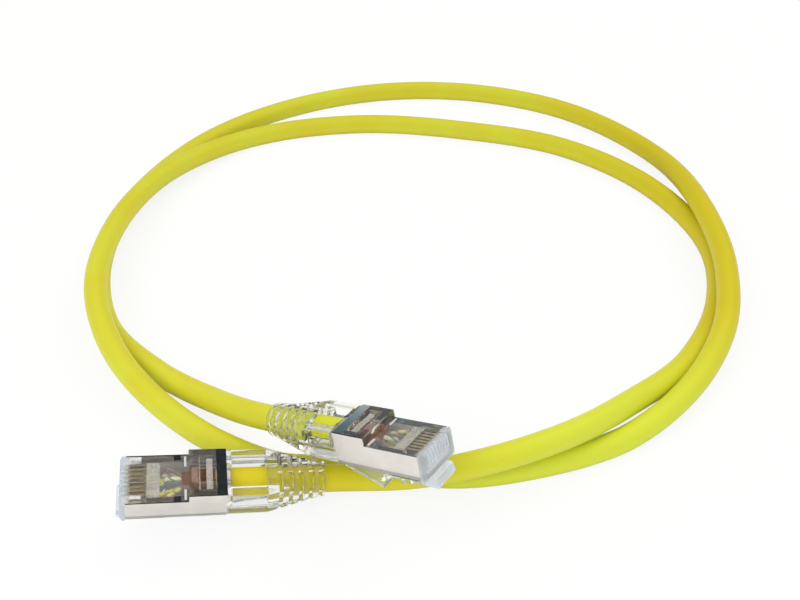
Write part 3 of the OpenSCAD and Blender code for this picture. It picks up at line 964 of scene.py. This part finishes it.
class PATCHCABLE_OT_shields(bpy.types.Operator):
    """Fold the two plated shields from sheet, with their straps, lugs and cable clamps."""

    bl_idname = "patchcable.shields"
    bl_label = "Shields"

    def execute(self, context):
        plug = settings().plug
        t = plug.sheet
        inside_shade = shaded_inside_sheet(plug.inside_shade)
        back = -PLUG_LEN
        inside = PLUG_W - 2 * t
        for side in SIDES:
            material = plated_sheet(side, plug.plating, 0.2)
            outer = rounded_block(back, SHIELD_FRONT, PLUG_W, 0.0, BACK_H, (plug.fold, 0.0003))
            piece = new_piece("shield_case_" + side, outer, material)
            carve(piece, [
                rounded_block(back + t, CLEAR, inside, t, BACK_H - t, (plug.fold - t, 0.0001)),
                box((back + plug.strap, -inside / 2, LIP_Z), (CLEAR, inside / 2, CLEAR)),
                box((back + BACK_LEN, -CLEAR, NOSE_H), (CLEAR, CLEAR, CLEAR)),
                box((BELLY_X, -BELLY_HALF, -CLEAR), (CLEAR, BELLY_HALF, LIP_Z)),
                box((MOUTH_X, -inside / 2, -CLEAR), (CLEAR, inside / 2, LIP_Z)),
            ])
            weld(piece, new_piece("clamp", bar(back - CLAMP_LEN, back + t / 2, CLAMP_R + t), None))
            for sign in (-1, 1):
                inner, rim = sorted((sign * (PLUG_W / 2 - LUG_W), sign * (PLUG_W / 2 - t / 2)))
                lug = box((LUG_X[0], inner, NOSE_H - t), (LUG_X[1], rim, NOSE_H))
                weld(piece, new_piece("lug", lug, None))
            carve(piece, [bar(back - CLEAR, back + 0.001, CLAMP_R)])
            piece.data.materials.clear()
            piece.data.materials.append(material)
            piece.data.materials.append(inside_shade)
            # The inward faces get the darker, browner inside colour, which is painted shade.
            for face in piece.data.polygons:
                away = Vector((0, face.center.y, face.center.z - BACK_H / 2))
                if back < face.center.x and face.normal.dot(away) < -0.2 * away.length:
                    face.material_index = 1
            soften(piece, 0.00006, 30)
            piece.data.transform(placed(side))
            bake(piece)
            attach(piece, ROOT)
            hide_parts("shield_" + side)
        return {"FINISHED"}


def folded_braid():
    """The braid folded back over the jacket's end, with its flat collar in front."""
    bm = bmesh.new()
    rings = []
    turns = [math.tau * k / FOLD_SIDES - math.pi / 2 for k in range(FOLD_SIDES)]
    for x, radius in FOLD_PROFILE:
        ring = [(x, radius * math.cos(t), AXIS_Z + radius * math.sin(t)) for t in turns]
        rings.append([bm.verts.new(spot) for spot in ring])
    low, high = AXIS_Z - COLLAR_HALF, AXIS_Z + COLLAR_HALF
    corners = (COLLAR_CORNER, COLLAR_CORNER)
    rings += [rounded_section(bm, x, COLLAR_W, low, high, corners, FOLD_SIDES // 4 - 1) for x in COLLAR_X]
    for one, two in zip(rings, rings[1:]):
        for k in range(FOLD_SIDES):
            after = (k + 1) % FOLD_SIDES
            bm.faces.new((one[k], one[after], two[after], two[k]))
    bm.faces.new(rings[0])
    bm.faces.new(rings[-1][::-1])
    bmesh.ops.recalc_face_normals(bm, faces=bm.faces)
    return bm


class PATCHCABLE_OT_ends(bpy.types.Operator):
    """Fold the braid back over each end of the jacket, and set what holds it in the housing."""

    bl_idname = "patchcable.ends"
    bl_label = "Cable ends"

    def execute(self, context):
        plug = settings().plug
        braid = woven_braid("copper_braid", plug.braid, 0.6)
        milk = nylon()
        haze = clear_moulding("hazy_clamp", (0.90, 0.88, 0.85), 0.25, 0.8, 0.78)
        for side in SIDES:
            piece = new_piece("braid_fold_" + side, folded_braid(), braid)
            piece.data.transform(placed(side))
            pressed(piece, PRESSED_FOLD, WRAP_R)
            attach(piece, ROOT)
            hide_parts("screen_wrap_" + side)
            for name, (low, high) in CLAMP_BLOCKS.items():
                piece = new_piece(f"{name}_{side}", box(low, high), milk if "lug" in name else haze)
                soften(piece, 0.00012, 30)
                piece.data.transform(placed(side))
                bake(piece)
                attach(piece, ROOT)
        return {"FINISHED"}


class PATCHCABLE_OT_plugs(bpy.types.Operator):
    """Finish the plugs' housings, latches, guards, load bars, contacts and wires."""

    bl_idname = "patchcable.plugs"
    bl_label = "Plugs"

    def execute(self, context):
        plug = settings().plug
        nodes = frame["nodes"]
        gold = gold_blade()
        # The guard's blue-grey tint is a painted reflection of the shade under the plug.
        guard = clear_moulding("clear_guard", (0.84, 0.90, 0.97), 0.08, 0.92, 0.88)
        load_bar = clear_moulding("cloudy_load_bar", (0.76, 0.74, 0.69), 0.2, 0.7, 0.75)
        for side in SIDES:
            housing = clear_moulding("clear_housing_" + side, plug.housing, 0.05, 0.93, 0.95,
                                     frost_on=side, frost_to=0.0022)
            latch = clear_moulding("clear_latch_" + side, (0.95, 0.97, 0.99), 0.05, 0.94, 0.93,
                                   frost_on=side, frost_to=0.004)
            finishes = {"plug_housing": housing, "latch": latch, "latch_guard": guard, "load_bar": load_bar}
            for name, material in finishes.items():
                dress(nodes[f"{name}_{side}"], material)
                soften(nodes[f"{name}_{side}"], plug.edge, 50)
            for pin in PINS:
                dress(nodes[f"contact_{side}_{pin}"], gold)
                dress(nodes[f"conductor_{side}_{pin}"], skin(pin))
        return {"FINISHED"}


def dress(node, material):
    """Gives a carried-over node one material."""
    node.data.materials.clear()
    node.data.materials.append(material)


# The sky's colours by height, for its light and as metal mirrors it
DOME = ((0.0, (0.48, 0.50, 0.50)), (0.9, (1.25, 1.25, 1.22)))
DARK_STUDIO = (
    (0.0, (0.80, 0.84, 0.86)),
    (0.10, (0.26, 0.36, 0.43)),
    (0.17, (0.09, 0.19, 0.27)),
    (0.35, (0.03, 0.07, 0.10)),
    (0.60, (0.003, 0.010, 0.016)),
)
LAMP_SIZE = 0.5


class PATCHCABLE_OT_stage(bpy.types.Operator):
    """Set up the floor, the sky and the lamps."""

    bl_idname = "patchcable.stage"
    bl_label = "Stage"

    def execute(self, context):
        stage = settings().stage
        bm = bmesh.new()
        bmesh.ops.create_grid(bm, x_segments=8, y_segments=8, size=stage.floor)
        floor = new_piece("floor", bm, white_floor())
        floor.location.z = -0.00002
        self.lamp(context, "key_lamp", (-0.35, -0.45, 0.55), stage.key, (0.93, 1.0, 0.93))
        self.lamp(context, "rim_lamp", (0.45, 0.50, 0.60), stage.rim, (1.0, 0.88, 0.72))
        self.sky(context, stage.sky)
        return {"FINISHED"}

    def lamp(self, context, name, place, power, tint):
        """A square soft lamp that points at the cable."""
        light = bpy.data.lights.new(name, "AREA")
        light.size = LAMP_SIZE
        light.energy = power
        light.color = tint
        lamp = bpy.data.objects.new(name, light)
        lamp.location = place
        middle = (cad_low + cad_high) / 2
        lamp.rotation_euler = (middle - Vector(place)).to_track_quat("-Z", "Y").to_euler()
        lamp.visible_glossy = False
        context.scene.collection.objects.link(lamp)

    def sky(self, context, strength):
        """An even white sky for light, which mirrors see as a dark studio above a white horizon."""
        world = bpy.data.worlds.new("sky")
        context.scene.world = world
        world.use_nodes = True
        nodes, link = world.node_tree.nodes, world.node_tree.links.new
        nodes.clear()
        even = nodes.new("ShaderNodeBackground")
        even.inputs["Strength"].default_value = strength
        white = nodes.new("ShaderNodeBackground")
        studio = nodes.new("ShaderNodeBackground")
        path = nodes.new("ShaderNodeLightPath")
        coordinates = nodes.new("ShaderNodeTexCoord")
        split = nodes.new("ShaderNodeSeparateXYZ")
        link(coordinates.outputs["Generated"], split.inputs[0])
        for shade, stops in ((even, DOME), (studio, DARK_STUDIO)):
            ramp = nodes.new("ShaderNodeValToRGB")
            elements = ramp.color_ramp.elements
            while len(elements) < len(stops):
                elements.new(0.5)
            for element, (place, tint) in zip(elements, stops):
                element.position = place
                element.color = (*tint, 1)
            link(split.outputs["Z"], ramp.inputs["Fac"])
            link(ramp.outputs["Color"], shade.inputs["Color"])
        mirrored = nodes.new("ShaderNodeMath")
        mirrored.operation = "GREATER_THAN"
        link(path.outputs["Is Glossy Ray"], mirrored.inputs[0])
        link(path.outputs["Is Transmission Ray"], mirrored.inputs[1])
        first = nodes.new("ShaderNodeMixShader")
        link(mirrored.outputs[0], first.inputs[0])
        link(even.outputs[0], first.inputs[1])
        link(studio.outputs[0], first.inputs[2])
        second = nodes.new("ShaderNodeMixShader")
        link(path.outputs["Is Camera Ray"], second.inputs[0])
        link(first.outputs[0], second.inputs[1])
        link(white.outputs[0], second.inputs[2])
        white.inputs["Color"].default_value = (1, 1, 1, 1)
        out = nodes.new("ShaderNodeOutputWorld")
        link(second.outputs[0], out.inputs["Surface"])


STEPS = (PATCHCABLE_OT_camera, PATCHCABLE_OT_jacket, PATCHCABLE_OT_core, PATCHCABLE_OT_boots,
         PATCHCABLE_OT_shields, PATCHCABLE_OT_ends, PATCHCABLE_OT_plugs, PATCHCABLE_OT_stage)


class PATCHCABLE_PT_panel(bpy.types.Panel):
    """The steps that dress the cable, in order."""

    bl_idname = "PATCHCABLE_PT_panel"
    bl_label = "Patch Cable"
    bl_space_type = "VIEW_3D"
    bl_region_type = "UI"
    bl_category = "Patch Cable"

    def draw(self, context):
        for step in STEPS:
            self.layout.operator(step.bl_idname)


SETTINGS = (CordSettings, PlugSettings, BootSettings, StageSettings, CableSettings)
CLASSES = (*SETTINGS, *STEPS, PATCHCABLE_PT_panel)


def register():
    for cls in CLASSES:
        bpy.utils.register_class(cls)
    bpy.types.Scene.patch_cable = bpy.props.PointerProperty(type=CableSettings)


def unregister():
    del bpy.types.Scene.patch_cable
    for cls in reversed(CLASSES):
        bpy.utils.unregister_class(cls)


def main():
    """Runs every step."""
    register()
    for step in STEPS:
        group, name = step.bl_idname.split(".")
        getattr(getattr(bpy.ops, group), name)()


if __name__ == "__main__":
    main()
